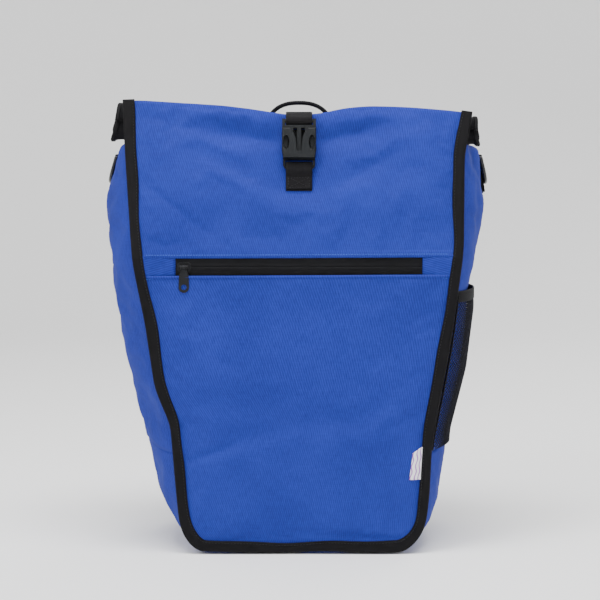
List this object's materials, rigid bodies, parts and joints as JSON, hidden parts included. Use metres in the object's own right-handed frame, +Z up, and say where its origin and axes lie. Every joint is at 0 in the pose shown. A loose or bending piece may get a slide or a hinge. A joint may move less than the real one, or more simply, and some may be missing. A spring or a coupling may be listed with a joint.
{
  "type": "pannier bag",
  "caption": "Stuffed roll-top bicycle pannier with a buckled top strap, zipped front, net side pocket, latching rack hooks and a sliding lower anchor.",
  "frame": {"origin": "middle of the bottom of the bounding box", "axes": "+Z up, front panel faces -Y, rack side faces +Y, +X to the right seen from the front"},
  "size_m": [0.3723, 0.1868, 0.432],
  "materials": {
    "cloth": "satin",
    "binding": "matte",
    "webbing": "matte",
    "zip": "satin",
    "net": "matte",
    "label": "matte",
    "lining": "matte",
    "buckle": "satin",
    "black_plastic": "matte",
    "board": "matte",
    "steel": "satin",
    "black_metal": "satin"
  },
  "bodies": {
    "bag": {"anchor_rail": "black_plastic", "anchor_screws": "steel", "back_board": "board", "back_panel": "cloth", "base_board": "board", "base_panel": "cloth", "binding_back": "binding", "binding_front": "binding", "buckle_female": "buckle", "flange_nuts": "steel", "front_panel_lower": "cloth", "front_panel_upper": "cloth", "gusset_left": "cloth", "gusset_right": "cloth", "handle_rivets": "steel", "hook_rail": "black_plastic", "hook_screws": "steel", "latch_pin_left": "steel", "latch_pin_right": "steel", "mesh_pocket": "net", "pocket_elastic": "binding", "pocket_lining": "lining", "rack_hook_left": "black_plastic", "rack_hook_right": "black_plastic", "rail_screw": "steel", "ring_tab_left": "webbing", "ring_tab_right": "webbing", "side_label": "label", "strap_tab": "webbing", "zip_end_left": "cloth", "zip_end_right": "cloth", "zip_tape_lower": "zip", "zip_tape_upper": "zip"},
    "lid": {"lid_cloth": "cloth", "rolled_mouth": "cloth", "roll_ends": "binding", "closing_strap": "webbing"},
    "plug": {"buckle_male": "buckle"},
    "prong_left": {"buckle_prong_left": "buckle"},
    "prong_right": {"buckle_prong_right": "buckle"},
    "slider": {"zip_slider": "black_metal"},
    "pull": {"zip_pull": "black_metal"},
    "ring_left": {"shoulder_ring_left": "black_metal"},
    "ring_right": {"shoulder_ring_right": "black_metal"},
    "handle": {"carry_handle": "webbing"},
    "latch_left": {"hook_latch_left": "black_plastic"},
    "latch_right": {"hook_latch_right": "black_plastic"},
    "anchor_carriage": {"anchor_slide": "black_plastic"},
    "anchor_arm": {"anchor_hook": "black_plastic"}
  },
  "joints": [
    {"name": "lid_open", "type": "hinge", "parent": "bag", "child": "lid", "pos_m": [0, 0.0619, 0.3725], "axis": [-1, 0, 0], "range_deg": [0, 85]},
    {"name": "buckle_release", "type": "slide", "parent": "lid", "child": "plug", "axis": [0, 0.2419, 0.9703], "range_m": [0, 0.028], "deforming": ["closing_strap", "buckle_prong_left", "buckle_prong_right"]},
    {"name": "prong_squeeze_right", "type": "hinge", "parent": "plug", "child": "prong_right", "pos_m": [0.0076, -0.06601, 0.4012], "axis": [0, 0.9703, -0.2419], "range_deg": [0, 7.5], "stiffness_Nm_per_rad": 0.02},
    {"name": "prong_squeeze_left", "type": "hinge", "parent": "plug", "child": "prong_left", "pos_m": [-0.0076, -0.06601, 0.4012], "axis": [0, -0.9703, 0.2419], "range_deg": [0, 7.5], "stiffness_Nm_per_rad": 0.02},
    {"name": "zip_open", "type": "slide", "parent": "bag", "child": "slider", "axis": [1, 0, 0], "range_m": [0, 0.216]},
    {"name": "zip_pull_swing", "type": "hinge", "parent": "slider", "child": "pull", "pos_m": [-0.108, -0.0913, 0.2735], "axis": [-1, 0, 0], "range_deg": [0, 150]},
    {"name": "ring_left_swing", "type": "hinge", "parent": "bag", "child": "ring_left", "pos_m": [-0.17825, -0.00338, 0.37519], "axis": [0, 1, 0], "range_deg": [0, 160]},
    {"name": "ring_right_swing", "type": "hinge", "parent": "bag", "child": "ring_right", "pos_m": [0.17714, -0.00338, 0.37498], "axis": [0, -1, 0], "range_deg": [0, 160]},
    {"name": "handle_swing", "type": "hinge", "parent": "bag", "child": "handle", "pos_m": [0, 0.0787, 0.352], "axis": [-1, 0, 0], "range_deg": [0, 95], "stiffness_Nm_per_rad": 0.15},
    {"name": "latch_left_swing", "type": "hinge", "parent": "bag", "child": "latch_left", "pos_m": [-0.092, 0.0678, 0.3175], "axis": [-1, 0, 0], "range_deg": [0, 85], "stiffness_Nm_per_rad": 0.04, "springref_deg": -34.38},
    {"name": "latch_right_swing", "type": "hinge", "parent": "bag", "child": "latch_right", "pos_m": [0.092, 0.0678, 0.3175], "axis": [-1, 0, 0], "range_deg": [0, 85], "stiffness_Nm_per_rad": 0.04, "springref_deg": -34.38},
    {"name": "anchor_shift", "type": "slide", "parent": "bag", "child": "anchor_carriage", "axis": [1, 0, 0], "range_m": [-0.03, 0.03]},
    {"name": "anchor_swivel", "type": "hinge", "parent": "anchor_carriage", "child": "anchor_arm", "pos_m": [0, 0.0722, 0.108], "axis": [0, 1, 0], "range_deg": [-90, 90]}
  ],
  "couplings": [
    {"joint": "prong_squeeze_left", "follows": "prong_squeeze_right", "ratio": 1}
  ]
}
